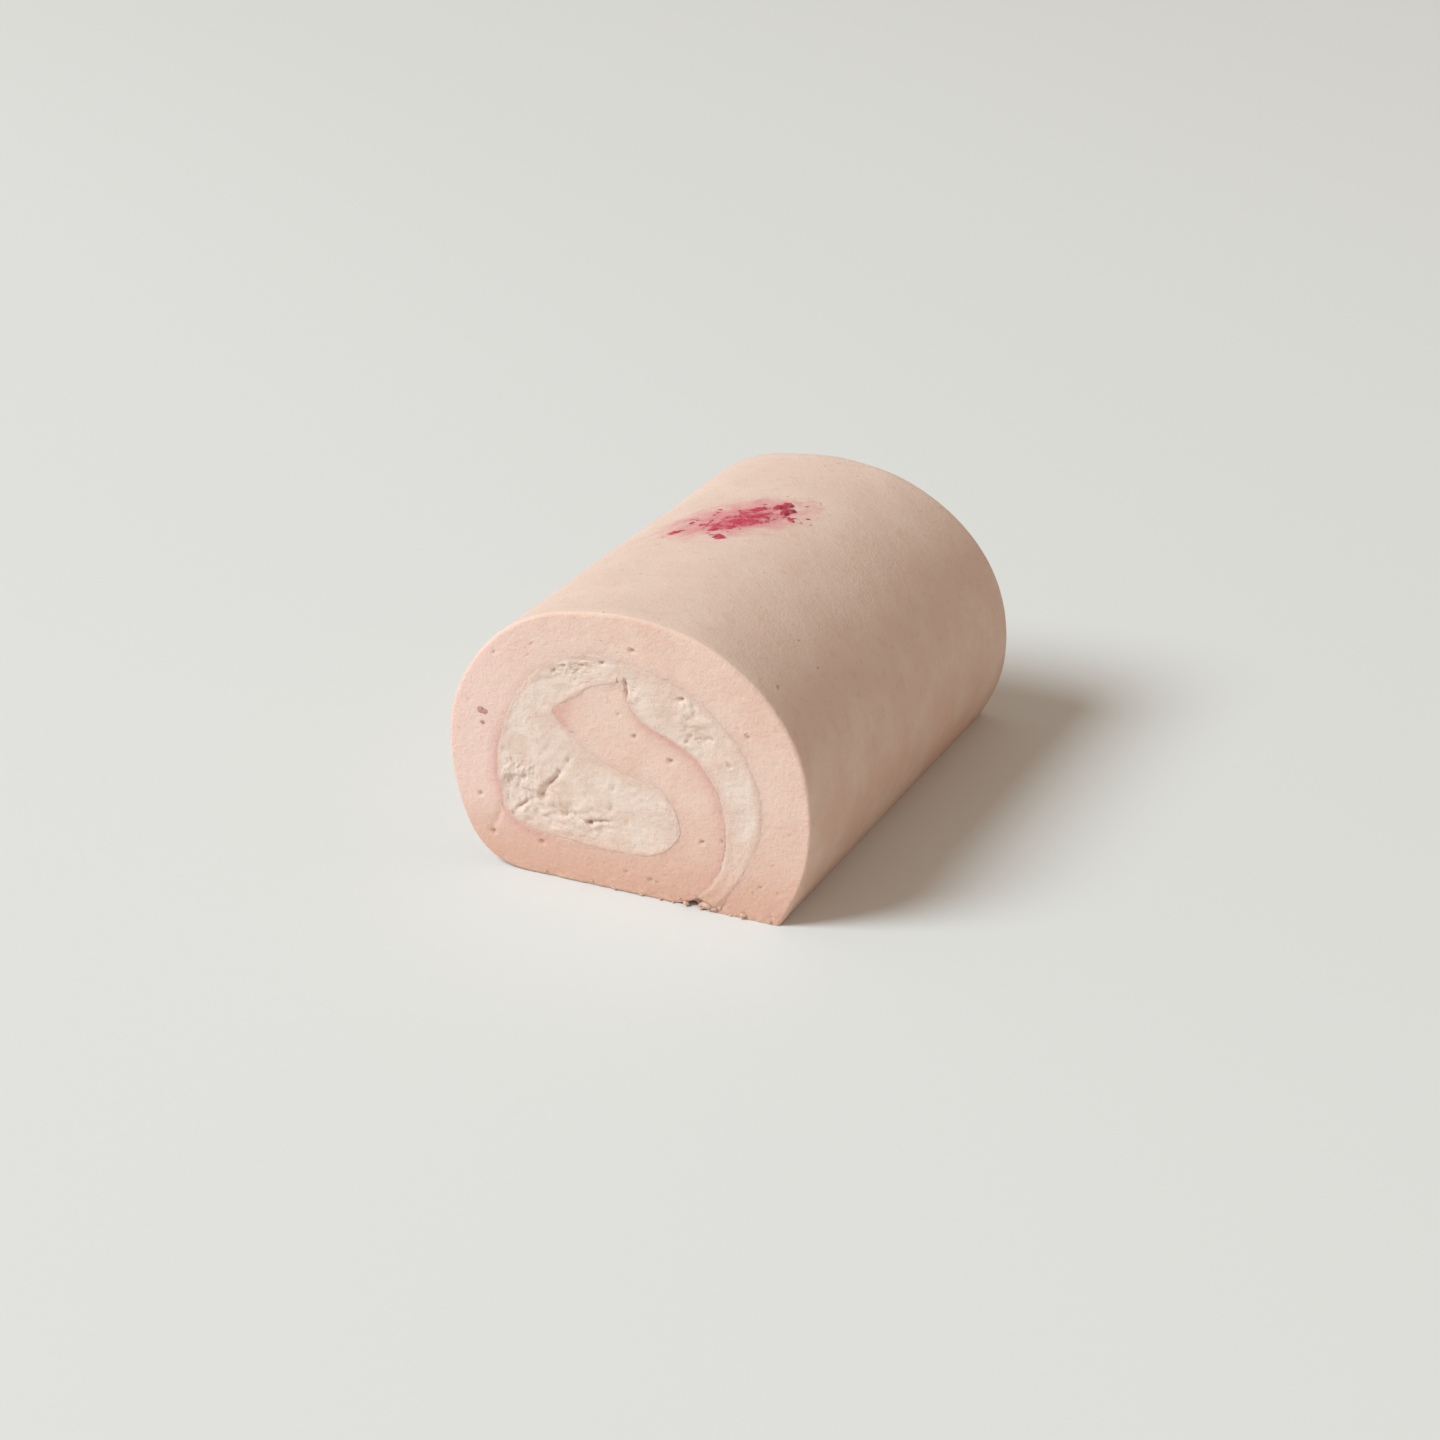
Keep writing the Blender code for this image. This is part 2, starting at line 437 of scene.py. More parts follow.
# The crumb: clouds of two pinks, painted light on the side towards -X, painted warm bounce and shade towards
# the table, painted shade in its bubbles and holes, then what the attributes say.
def makeCrumb():
    material, tree, shader = startMaterial("pinkCrumb", 0.85, 0.25, (1.0, 0.5, 0.35))
    look = crumbLook
    x, _, z = addNode(tree, "SeparateXYZ", Vector=objectPlace(tree)).outputs
    cloud = ramp(tree, noiseNode(tree, look["cloudSize"]), 0.35, 0.68)
    grain = noiseNode(tree, look["grainSize"], 4)
    coarse, fine = (bubbles(tree, size)[0] for size in look["bubbleSizes"])
    holes = openBubbles(tree, look["holeSize"], 0.10, 0.22)
    color = mixColors(tree, cloud, look["color"], look["pale"])
    # painted light: the crumb lighter on the side towards -X, where the key light falls
    color = mixColors(tree, ramp(tree, x, *look["paintedLightAcross"], 0, 0.9), color, look["light"])
    # painted warm bounce light and shade, deeper towards the table
    color = mixColors(tree, ramp(tree, z, *look["paintedBounceBelow"], 0, 0.85), color, look["deep"])
    # painted shade in the middles of the coarse bubbles, which the bump sinks, in the moist colour
    color = mixColors(tree, ramp(tree, coarse, 0.40, 0.10, 0, 0.14), color, look["moist"])
    color = cover(tree, color, attribute(tree, "moist"), 0.8, look["moist"])
    color = mixColors(tree, raggedAttribute(tree, "creamy", look["raggedSize"]), color, look["cream"])
    # painted shade in the open holes, and in the pores and creases that the attribute marks
    color = cover(tree, color, holes, 0.3, look["hollowShade"])
    color = cover(tree, color, attribute(tree, "hollowShade"), 0.75, look["hollowShade"])
    fillSocket(tree, shader.inputs["Base Color"], color)
    bump(tree, shader, (
        (coarse, 0.0005, 0.20),
        (fine, 0.0003, 0.20),
        (grain, 0.0003, 0.26),
        (maths(tree, "MULTIPLY", holes, -1.0), 0.0005, 0.4),
    ))
    return material


# Crushed berry on top: an ellipse at centre, turned by turn degrees, and within it, in its own
# coordinates, ellipses of middle, turn and half sizes. Lengths are in mm.
smear = {
    "centre": (-4.5, 2.5),
    "turn": 50.1,
    "stain": (25.5, 13.0),    # half length and half width of the whole
    "juice": (2.0, -3.6, 0, 11.5, 4.6),
    # x, y, turn, half length, half width, how thickly it covers
    "films": ((3.4, -3.3, 2, 7.0, 2.7, 1.45), (-10.3, -11.3, 65, 3.0, 2.2, 0.65),
              (-17.5, -0.8, 6, 4.0, 1.3, 0.55), (-11.5, 3.6, 6, 3.5, 1.2, 0.45),
              (-3.0, 1.0, 0, 6.0, 2.0, 0.35), (9.0, 2.0, 0, 5.0, 2.2, 0.35),
              (-8.5, -5.5, 20, 4.0, 1.6, 0.50)),
    "chunks": ((14.2, 1.9, 20, 1.9, 1.4), (16.9, 2.3, -30, 1.5, 1.2), (13.7, -2.2, 50, 1.7, 1.3),
               (15.9, -1.6, 0, 1.4, 1.1), (15.3, 0.2, 0, 1.2, 1.2)),
    "film": 0.30,             # thickness
    "chunkHeight": 0.9,
    "under": 0.9,             # how far the slab goes below the skin
    "dots": 60,
    "dotArea": ((-22, -11), (28, 10)),
    "dotSizes": (0.30, 0.75),
    "rows": 190,
    "cells": 96,
}

skinLook = {
    "low": (0.728, 0.495, 0.392),     # near the table: painted shade and warm bounce light
    # painted light on the upper side
    "top": (0.775, 0.590, 0.500),
    "pale": (0.830, 0.660, 0.570),    # in clouds
    "freckle": (0.620, 0.420, 0.320),
    # painted shade in the pinholes and pocks
    "pore": (0.500, 0.320, 0.230),
    "stain": (0.735, 0.370, 0.360),
    "juice": (0.660, 0.130, 0.170),
    "paintedLightAbove": (0.015, 0.068),       # z where the painted light from above begins, and where it is strongest
    "stainAbove": (0.055, 0.062),     # z between which the stain appears
    "cloudSize": 0.016,
    "freckleSize": 0.0030,
    "grainSize": 0.0006,
    "bubbleSize": 0.0009,
    "poreSize": 0.0034,
    # single pocks, dented and darkened as painted shade: x, y, z and radius in mm
    "pocks": ((38.3, -64.2, 61.6, 0.9), (40.3, -44.0, 59.4, 0.6), (47.0, -20.0, 48.0, 0.5)),
}


# 1 at the middle of each pock, falling to 0 at its radius.
def pockMask(tree):
    total = 0.0
    for x, y, z, radius in skinLook["pocks"]:
        away = addNode(tree, "VectorMath", {"operation": "DISTANCE"}, Vector=objectPlace(tree))
        away.inputs[1].default_value = (x * mm, y * mm, z * mm)
        spot = ramp(tree, away.outputs["Value"], radius * mm, radius * mm * 0.3)
        total = maths(tree, "ADD", spot, total)
    return total


# 1 inside an ellipse of the smear and 0 outside, on the upper side only; noise breaks it into streaks.
def stainMask(tree, shape, inner, outer, streakSize, spread):
    x, y, turn, long, wide = shape
    middle = np.add(smear["centre"], turned(x, y, smear["turn"])).tolist()
    z = addNode(tree, "SeparateXYZ", Vector=objectPlace(tree)).outputs[2]
    local = addNode(tree, "Mapping", {"vector_type": "TEXTURE"}, Vector=objectPlace(tree))
    local.inputs["Location"].default_value = (middle[0] * mm, middle[1] * mm, 0)
    local.inputs["Rotation"].default_value = (0, 0, math.radians(smear["turn"] + turn))
    local.inputs["Scale"].default_value = (long * mm, wide * mm, 1)
    flat = addNode(tree, "VectorMath", {"operation": "MULTIPLY"}, Vector=local.outputs[0])
    flat.inputs[1].default_value = (1, 1, 0)
    reach = addNode(tree, "VectorMath", {"operation": "LENGTH"}, Vector=flat.outputs[0]).outputs["Value"]
    streaks = noiseNode(tree, streakSize, 6, flat.outputs[0], 0.7)
    broken = maths(tree, "MULTIPLY", maths(tree, "SUBTRACT", streaks), spread)
    mask = ramp(tree, maths(tree, "ADD", reach, broken), outer, inner)
    return maths(tree, "MULTIPLY", mask, ramp(tree, z, *skinLook["stainAbove"]))


# The baked skin: lighter towards the top as painted light and darker towards the table as painted shade, with
# clouds, freckles and pores, painted shade in the pores and pocks, and the berry's stain.
def makeSkin():
    material, tree, shader = startMaterial("bakedSkin", 0.7, 0.2, (1.0, 0.5, 0.35))
    look = skinLook
    z = addNode(tree, "SeparateXYZ", Vector=objectPlace(tree)).outputs[2]
    cloud = ramp(tree, noiseNode(tree, look["cloudSize"], 5), 0.40, 0.66, 0, 0.45)
    mottle = noiseNode(tree, look["freckleSize"], 5)
    grain = noiseNode(tree, look["grainSize"], 3)
    pores = openBubbles(tree, look["poreSize"], 0.10, 0.16)
    fine = bubbles(tree, look["bubbleSize"])[0]
    # painted light and shade: lighter towards the top, darker and warmer towards the table
    color = mixColors(tree, ramp(tree, z, *look["paintedLightAbove"]), look["low"], look["top"])
    color = mixColors(tree, cloud, color, look["pale"])
    color = mixColors(tree, ramp(tree, mottle, 0.52, 0.75, 0, 0.30), color, look["freckle"])
    # painted shade in the pinholes and pocks, which the bump also dents
    dots = maths(tree, "MAXIMUM", pores, pockMask(tree))
    color = cover(tree, color, dots, 0.6, look["pore"])
    whole = (0, 0, 0, *smear["stain"])
    for shape, inner, outer, streakSize, spread, strength, over in (
        (whole, 0.40, 1.15, 0.42, 2.3, 0.95, "stain"),
        (whole, -0.10, 0.80, 0.18, 3.0, 0.55, "juice"),
        (smear["juice"], 0.20, 1.20, 0.40, 1.8, 0.85, "juice"),
    ):
        mask = stainMask(tree, shape, inner, outer, streakSize, spread)
        color = cover(tree, color, mask, strength, look[over])
    fillSocket(tree, shader.inputs["Base Color"], color)
    bump(tree, shader, (
        (mottle, 0.0006, 0.25),
        (fine, 0.0002, 0.25),
        (grain, 0.0002, 0.25),
        (maths(tree, "MULTIPLY", dots, -1.0), 0.0004, 0.6),
    ))
    return material


creamLook = {
    "color": (0.785, 0.605, 0.510),
    "pale": (0.845, 0.695, 0.610),    # in clouds
    "crumb": (0.805, 0.580, 0.485),   # where crumb is dragged into it
    # painted shade in cracks, holes and pits
    "hollowShade": (0.560, 0.385, 0.295),
    "paintedBounceBelow": (0.014, 0.003),      # z where it begins to take on the crumb's painted bounce and shade, and ends
    "cloudSize": 0.008,
    "raggedSize": 0.0014,
    "fleckSize": 0.0021,
    "flakeSize": 0.0020,
    "grainSize": 0.0006,
}


# The cream: clouds of two whites, pinker along its edges and near the table, with the crumb's painted bounce
# and shade near the table and painted shade in its pits, cracks and holes.
def makeCream():
    material, tree, shader = startMaterial("whippedCream", 0.55, 0.35, (1.0, 0.75, 0.6))
    look = creamLook
    cloud = ramp(tree, noiseNode(tree, look["cloudSize"], 4), 0.36, 0.66)
    flecks = openBubbles(tree, look["fleckSize"], 0.22, 0.16)
    color = mixColors(tree, cloud, look["color"], look["pale"])
    color = mixColors(tree, raggedAttribute(tree, "crumby", look["raggedSize"]), color, look["crumb"])
    z = addNode(tree, "SeparateXYZ", Vector=objectPlace(tree)).outputs[2]
    # painted warm bounce light and shade near the table, in the crumb's colour for it
    color = mixColors(tree, ramp(tree, z, *look["paintedBounceBelow"], 0, 0.8), color, crumbLook["deep"])
    # painted shade in the pits of the flecks, and in the cracks and holes the attribute marks
    color = cover(tree, color, flecks, 0.25, look["hollowShade"])
    color = cover(tree, color, attribute(tree, "hollowShade"), 0.8, look["hollowShade"])
    fillSocket(tree, shader.inputs["Base Color"], color)
    bump(tree, shader, (
        (noiseNode(tree, look["flakeSize"], 5), 0.0009, 0.45),
        (noiseNode(tree, look["grainSize"], 3), 0.0003, 0.55),
        (maths(tree, "MULTIPLY", flecks, -1.0), 0.0004, 0.5),
    ))
    return material


# crushed berry, and berry that soaked into the crumb
berryLook = {
    "color": (0.600, 0.050, 0.105),
    "dark": (0.260, 0.020, 0.040),
    "milky": (0.740, 0.290, 0.310),
}
soakedLook = {
    "color": (0.630, 0.300, 0.250),
    "dark": (0.480, 0.200, 0.160),
    "milky": (0.700, 0.400, 0.330),
}


# Berry: milky patches and dark dots on the main colour, milkier where thin.
def makeBerry(name, look, roughness, patchSize=0.0026, dotSize=0.0012, grainSize=0.0006):
    material, tree, shader = startMaterial(name, roughness, 0.25, (1.0, 0.25, 0.25), 0.5)
    patches = ramp(tree, noiseNode(tree, patchSize, 4), 0.50, 0.72)
    color = mixColors(tree, patches, look["color"], look["milky"])
    color = mixColors(tree, ramp(tree, noiseNode(tree, dotSize, 3), 0.55, 0.68, 0, 0.6), color, look["dark"])
    color = cover(tree, color, attribute(tree, "thin"), 0.6, look["milky"])
    color = mixColors(tree, attribute(tree, "dark"), color, look["dark"])
    fillSocket(tree, shader.inputs["Base Color"], color)
    bump(tree, shader, ((noiseNode(tree, grainSize, 3), 0.0003, 0.5),))
    return material


crumb, skin, creamWhite = makeCrumb(), makeSkin(), makeCream()
berry = makeBerry("crushedBerry", berryLook, 0.35)
soakedBerry = makeBerry("soakedBerry", soakedLook, 0.7)
print("materials made")


sponge = {
    "columns": 600,
    "faceCells": (46, 32),    # across the sheet on the front and the rear cut
    "wallCells": 3,
    "skinCells": 60,
    "skinRound": 0.9 * mm,
    "wallRound": 0.12 * mm,
    "crumb": 0.11 * mm,       # height of the crumb on a cut face
    "crumbSize": 3.0 * mm,
    "sway": 0.40 * mm,        # slow unevenness of the skin
    "swaySize": 24 * mm,
    "strewn": 80,             # pores on each cut face
    "strewnSizes": (0.30 * mm, 0.85 * mm),
    "openPores": [            # larger pores of the front cut: x, z, radius, depth in mm
        (2.2, 68.0, 1.0, 0.9), (11.7, 61.2, 0.8, 1.1), (34.0, 50.7, 0.7, 0.7), (2.5, 44.8, 0.9, 0.9),
        (12.7, 40.0, 0.9, 0.9), (-15.0, 41.9, 0.9, 0.8), (-1.9, 50.1, 0.7, 0.6), (21.4, 19.2, 0.8, 0.9),
        (-24.5, 9.5, 1.1, 0.8), (6.8, 5.2, 0.9, 0.7), (8.6, 4.9, 0.7, 0.6), (-42.5, 19.8, 0.8, 0.9),
        (-39.0, 9.6, 1.1, 1.1),
    ],
    "creases": [              # width, depth, line in mm
        (1.0, 0.28, [(-35.7, 18.3), (-38.3, 13.0), (-41.0, 8.6)]),
    ],
    "moistSpots": [           # where cream soaked in and the crumb is pinker: x, z, reach, strength
        (-36.8, 36.0, 9.0, 0.8), (-36.4, 24.0, 8.0, 0.9), (-28.0, 11.8, 6.5, 1.4), (-19.0, 46.5, 6.0, 1.2),
        (6.0, 47.0, 6.0, 1.0), (14.5, 43.5, 6.0, 1.2), (21.5, 36.5, 6.0, 0.9), (25.0, 26.0, 8.0, 0.9),
        (23.0, 12.0, 8.0, 0.7), (-38.5, 13.0, 3.0, 0.8),
    ],
    "soaked": 2.8 * mm,       # how far from the cream those spots reach
    "moistEdge": (0.25, 1.6 * mm),    # strength and reach of the pink along the cream, and along the skin
    "moistSkin": (0.20, 0.8 * mm),
    "creamy": 0.9 * mm,       # how far cream is smeared over the crumb
    # up to the first of these sheet distances cream lies on both sides of the sheet, past the second
    # only inside
    "tongue": (0.061, 0.066),
}


# Sheet distances of each column on either wall. They part only near the tail, where the table cuts
# the sheet off square.
def columnDistances():
    outerEnd, innerEnd = tailEnd(outerWall), tailEnd(innerWall)
    along = np.linspace(0, max(outerEnd, innerEnd), sponge["columns"] + 1)
    along[1], along[-2] = along[0] + 0.1 * mm, along[-1] - 0.1 * mm
    bend = smoothStep(along, 0.25, along[-1])
    return along - (along[-1] - outerEnd) * bend, along - (along[-1] - innerEnd) * bend


# The skin swells and sinks slowly, less and less towards the table.
def skinSwell(section, y):
    place = np.concatenate((section, y[..., None]), axis=-1)
    sway = sponge["sway"] * layeredNoise(place, sponge["swaySize"], 5, 3, 0.45)
    return sway * smoothStep(section[..., 1], 0, 12 * mm)


# Height of a cut face above its plane: lumps of crumb, rougher near the table.
def crumbHeight(section, seed):
    rough = 1 + 2.5 * smoothStep(section[..., 1], 5 * mm, 0)
    return sponge["crumb"] * rough * (layeredNoise(section, sponge["crumbSize"], seed, 3, 0.75) - 0.25)


# The sheet: a section ring at each column along it. A point lies depth behind the skin on the line from
# the outer wall to the inner one; the ends' y then gets crumb and pores, and the skin its swell.
def makeSponge():
    flat, share, along, lift, onFront, onRear, onSkin = sectionRing(
        sponge["faceCells"], sponge["wallCells"], sponge["skinCells"],
        sponge["skinRound"], sponge["wallRound"],
    )
    outerAt, innerAt = columnDistances()
    outer, inner = wallPoint(outerWall, outerAt), wallPoint(innerWall, innerAt)
    for wall in (outer, inner):
        wall[:, 1] = np.maximum(wall[:, 1], 0)
    thick = np.linalg.norm(inner - outer, axis=1)[:, None]
    across = (inner - outer)[:, None] / thick[..., None]
    depth = flat + share * thick
    section = outer[:, None] + across * depth[..., None]
    nearTip = 1 - smoothStep(outerAt, 0, 5 * mm)[:, None]
    section = section + unit(outer[0] - outer[1]) * (nearTip * tipShape(depth / thick))[..., None]
    y = roll["frontY"] * (1 - along) + rearFace(section[..., 1]) * along + lift

    # crumb and pores: the cut faces sink inwards by the noise and the marks
    low, high = spongeLow[[0, 2]], spongeHigh[[0, 2]]
    named = [(x * mm, z * mm, r * mm, 0.75 * d * mm, 1.3, 0.3) for x, z, r, d in sponge["openPores"]]
    hollowShade = np.zeros(y.shape)
    for side, onFace, seed in ((1, onFront, 11), (-1, onRear, 47)):
        pores = strewnPores(seed, sponge["strewn"], low, high, *sponge["strewnSizes"])
        marks = poreDepth(section, np.vstack((pores, named)) if side > 0 else pores)
        if side > 0:
            marks = np.maximum(marks, crackDepth(section, sponge["creases"], seed))
        y = y + side * onFace * (marks - crumbHeight(section, seed))
        # painted shade: how deep the marks sink, for the crumb's colour to darken them
        hollowShade = np.maximum(hollowShade, onFace * smoothStep(marks, 0.10 * mm, 0.6 * mm))
    section = section - across * (onSkin * skinSwell(section, y))[..., None]

    # pinker where moist, paler where cream is smeared over the edge
    pastTongue = smoothStep(outerAt, *sponge["tongue"])[:, None]
    fromCream = np.minimum(thick - depth, depth + 20 * mm * pastTongue)
    fromCream = np.minimum(fromCream, outerAt[:, None])
    moist = 0
    for away, (strength, reach) in ((fromCream, sponge["moistEdge"]), (depth, sponge["moistSkin"])):
        moist = moist + strength * np.exp(-((away / reach) ** 2))
    for *spot, strength in np.array(sponge["moistSpots"]) * (mm, mm, mm, 1):
        moist = moist + strength * nearSpot(section, *spot) * np.exp(-((fromCream / sponge["soaked"]) ** 2))
    patchy = 0.75 + 0.5 * smoothNoise(section, 6 * mm, 71)
    creamy = patchy * np.exp(-np.clip(fromCream, 0, 1) / sponge["creamy"])

    points = np.stack((section[..., 0], y, np.maximum(section[..., 1], 0)), axis=-1)
    isSkin = np.minimum(onSkin, np.roll(onSkin, -1)) > 0.5    # both sides of a cell lie on the skin
    piece = ringMesh("spongeSheet", points[None], (crumb, skin), isSkin.astype(int))
    giveAttribute(piece, "moist", np.clip(moist, 0, 1))
    giveAttribute(piece, "creamy", creamy)
    giveAttribute(piece, "hollowShade", hollowShade)
    return piece


spongeSheet = makeSponge()
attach(spongeSheet, "root")
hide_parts("sponge")
print("sponge sheet made:", len(spongeSheet.data.polygons), "faces")


cream = {
    "columns": 420,
    "faceCells": (84, 56),
    "wallCells": 2,
    "stuck": 1.7 * mm,        # how far it reaches into the sponge's walls
    "dip": 0.30 * mm,         # how deep its edge lies behind the sponge's cut there
    "rim": 0.10 * mm,         # how far it stands over the sponge's edge
    "rimLumps": 2.6 * mm,
    "edgeRound": 0.05 * mm,
    "lumps": 0.40 * mm,       # height of the lumps and flakes
    "lumpSize": 9 * mm,
    "flakeSizes": (4.2 * mm, 1.7 * mm),
    "start": 0.0505,          # sheet distance of the deepest point inside the curl
    "tongueStop": 0.0635,     # where it ends on the tongue's outer wall, at the seam
    # pairs that face each other: distance on the sheet's inner wall, and place on the tongue, where 0 to 1
    # runs along its inner wall, 1 to 2 over its blunt tip and 2 to 3 along its outer wall
    "pairs": ((0.0505, 0), (0.056, 0.10), (0.087, 0.58), (0.104, 0.88), (0.116, 0.99), (0.167, 1.03),
              (0.201, 1.97), (0.206, 2.01), (0.212, 2.06), (0.219, 2.13), (0.226, 2.21), (0.250, 2.44),
              (0.309, 3)),
    "tornSpots": [            # where the knife tore it: x, z, reach in mm
        (-25.0, 21.0, 9.0), (-12.0, 18.0, 8.0), (-32.0, 27.0, 5.0), (-14.0, 62.0, 7.0), (20.0, 47.0, 5.0),
        (0.5, 56.0, 3.5), (-33.0, 14.0, 4.0), (16.0, 56.0, 4.0),
    ],
    "crumbSpots": [           # where it takes on the crumb's colour: x, z, reach in mm, strength
        (25.5, 42.5, 4.0, 0.65), (32.5, 16.5, 6.0, 0.60),
    ],
    "cracks": [               # width, depth, line in mm
        (0.5, 1.0, [(-15.4, 36.6), (-19.3, 29.9), (-24.1, 23.1)]),
        (0.5, 1.0, [(-24.1, 23.1), (-27.0, 21.2), (-31.8, 18.3), (-33.3, 13.9)]),
        (0.4, 1.0, [(-15.4, 19.4), (-10.6, 18.3), (-7.7, 18.7), (-3.8, 19.6)]),
        (0.7, 0.5, [(-23.1, 18.0), (-18.0, 18.7), (-14.0, 20.0)]),
        (0.45, 0.7, [(-3.3, 31.8), (-3.8, 27.9)]),
        (0.4, 0.6, [(-3.8, 26.0), (-4.3, 21.6)]),
        (0.4, 0.35, [(-11.0, 30.0), (-11.2, 23.0)]),
        (0.45, 0.6, [(0.6, 21.4), (0.1, 19.0)]),
        (0.55, 1.9, [(16.6, 46.0), (18.9, 48.4)]),
        (0.55, 1.9, [(21.2, 46.2), (23.8, 48.9)]),
        (0.45, 1.3, [(22.4, 48.2), (24.4, 47.8)]),
        (0.45, 0.5, [(28.2, 42.6), (30.0, 41.3)]),
        (0.5, 0.5, [(-32.6, 32.0), (-31.8, 28.9)]),
        (0.6, 0.5, [(-33.4, 26.9), (-32.3, 23.1)]),
        (0.5, 1.6, [(0.1, 60.2), (0.5, 56.5), (-0.4, 53.0)]),
        (1.9, 0.5, [(-25.0, 53.8), (-18.4, 58.6), (-12.3, 61.0), (-5.4, 62.2)]),
    ],
    "holes": [                # x, z, radius, depth in mm
        (-10.7, 18.1, 1.0, 2.0), (-19.2, 30.3, 1.3, 1.0), (-24.1, 22.6, 1.7, 1.1), (15.6, 57.2, 0.9, 1.0),
        (-20.0, 58.6, 0.9, 0.9), (-16.6, 60.4, 0.8, 0.9), (-12.0, 61.6, 0.9, 0.9), (-6.3, 62.9, 0.9, 1.0),
        (29.1, 41.9, 0.7, 0.6), (-14.6, 19.6, 0.8, 0.8),
    ],
}


# The cream's two edges: one runs along the sheet's inner wall, the other back along the tongue's
# inner wall, over its blunt tip and along its outer wall. Each is moved into the sponge by the stick.
def creamEdges():
    stick = cream["stuck"]
    share = np.linspace(0, 1, cream["columns"] + 1)
    wallAt, tongueAt = np.array(cream["pairs"]).T
    at = wallAt[0] + (wallAt[-1] - wallAt[0]) * share
    wallSide = wallPoint(innerWall, at)
    wallSide = wallSide + stick * unit(wallPoint(outerWall, at) - wallSide)

    back = np.arange(cream["start"], 0, -roll["step"])
    forth = np.arange(0, cream["tongueStop"], roll["step"])
    tip = np.linspace(0, 1, 40)[:, None]
    innerBack, outerForth = wallPoint(innerWall, back), wallPoint(outerWall, forth)
    innerBack = innerBack + stick * unit(wallPoint(outerWall, back) - innerBack)
    outerForth = outerForth + stick * unit(wallPoint(innerWall, forth) - outerForth)
    overTip = (innerBack[-1] * (1 - tip) + outerForth[0] * tip)[1:-1]
    inwards = stick * np.sin(math.pi * tip[1:-1]) ** 0.3 - tipShape(1 - tip[1:-1])
    overTip = overTip + unit(innerBack[-10] - innerBack[-1]) * inwards
    route = np.vstack((innerBack, overTip, outerForth))
    counts = np.cumsum((0, len(innerBack) - 1, len(overTip) + 1, len(outerForth) - 1))
    wanted = np.interp(np.interp(at, wallAt, tongueAt), range(4), counts)
    tongueSide = np.column_stack([np.interp(wanted, range(len(route)), route[:, axis]) for axis in (0, 1)])
    return wallSide, tongueSide


# Height of the cream's cut face: soft lumps, and where it is torn, flakes that end in small steps. A
# flake is smoothStep of noise over a narrow band, in two sizes.
def creamHeight(section, seed):
    soft = layeredNoise(section * (1.0, 1.25), cream["lumpSize"], seed, 4, 0.6)
    drift = np.stack([layeredNoise(section, 5 * mm, seed + k, 3, 0.6) for k in (8, 9)], axis=-1) * 1.6 * mm
    place = section + drift
    largeSize, smallSize = cream["flakeSizes"]
    large = smoothStep(layeredNoise(place * (0.8, 1.3), largeSize, seed + 5, 4, 0.6), -0.12, 0.10)
    small = smoothStep(layeredNoise(place, smallSize, seed + 6, 3, 0.7), -0.12, 0.12)
    torn = np.zeros(section.shape[:-1])
    for spot in np.array(cream["tornSpots"]) * mm:
        torn = torn + nearSpot(section, *spot)
    return cream["lumps"] * (0.8 * soft + np.clip(torn, 0.15, 1.5) * (1.0 * large + 0.7 * small - 0.8))


# The cream: a section ring at each pair of points of its two edges. Its cut faces stand a little over
# the sponge's, dip behind them where they reach into it, and carry the lumps, cracks and holes.
def makeCreamFilling():
    flat, share, along, lift, onFront, onRear, _ = sectionRing(
        cream["faceCells"], cream["wallCells"], cream["wallCells"],
        cream["edgeRound"], cream["edgeRound"], 3,
    )
    wallSide, tongueSide = creamEdges()
    wide = np.linalg.norm(tongueSide - wallSide, axis=1)[:, None]
    wide = np.maximum(wide, 4 * cream["edgeRound"])
    across = unit(tongueSide - wallSide)[:, None]
    depth = flat + share * wide
    section = wallSide[:, None] + across * depth[..., None]
    y = roll["frontY"] * (1 - along) + rearFace(section[..., 1]) * along + lift
    fromSponge = np.minimum(depth, wide - depth)

    holes = [(x * mm, z * mm, r * mm, d * mm, 1.25, 0.4) for x, z, r, d in cream["holes"]]
    inside = smoothStep(fromSponge, cream["stuck"], cream["stuck"] + 2 * mm)
    nearTable = smoothStep(section[..., 1], 15 * mm, 5 * mm)
    hollowShade = np.zeros(y.shape)
    for side, onFace, seed in ((1, onFront, 23), (-1, onRear, 61)):
        mirrored = section if side > 0 else section * (-1, 1) + (2 * mm, 3 * mm)
        breaks = 0.6 + 0.5 * smoothNoise(section, 1.8 * mm, seed)
        marks = np.maximum(crackDepth(mirrored, cream["cracks"], seed) * breaks, poreDepth(mirrored, holes))
        uneven = 1.4 * layeredNoise(section, cream["rimLumps"], seed + 3, 3, 0.7)
        over = cream["rim"] * (1 + nearTable + uneven)
        height = creamHeight(section, seed) * (0.15 + 0.85 * inside) + over * (1 - 0.8 * inside)
        height = height - (cream["dip"] + cream["rim"]) * np.clip(1 - fromSponge / cream["stuck"], 0, 1)
        marks = marks * smoothStep(fromSponge, 0.4 * cream["stuck"], cream["stuck"])
        y = y + side * onFace * (marks - height)
        # painted shade: how deep the cracks and holes sink, for the cream's colour to darken them
        hollowShade = np.maximum(hollowShade, onFace * smoothStep(marks, 0.25 * mm, 1.5 * mm))

    low = smoothStep(section[..., 1], 16 * mm, 8 * mm) * 0.9
    crumby = np.exp(-np.clip(fromSponge - cream["stuck"], 0, 1) / (1.1 * mm)) + low
    for *spot, strength in np.array(cream["crumbSpots"]) * (mm, mm, mm, 1):
        crumby = crumby + strength * nearSpot(section, *spot)
    points = np.stack((section[..., 0], y, section[..., 1]), axis=-1)
    piece = ringMesh("creamFilling", points[None], (creamWhite,))
    giveAttribute(piece, "hollowShade", hollowShade)
    giveAttribute(piece, "crumby", crumby)
    return piece


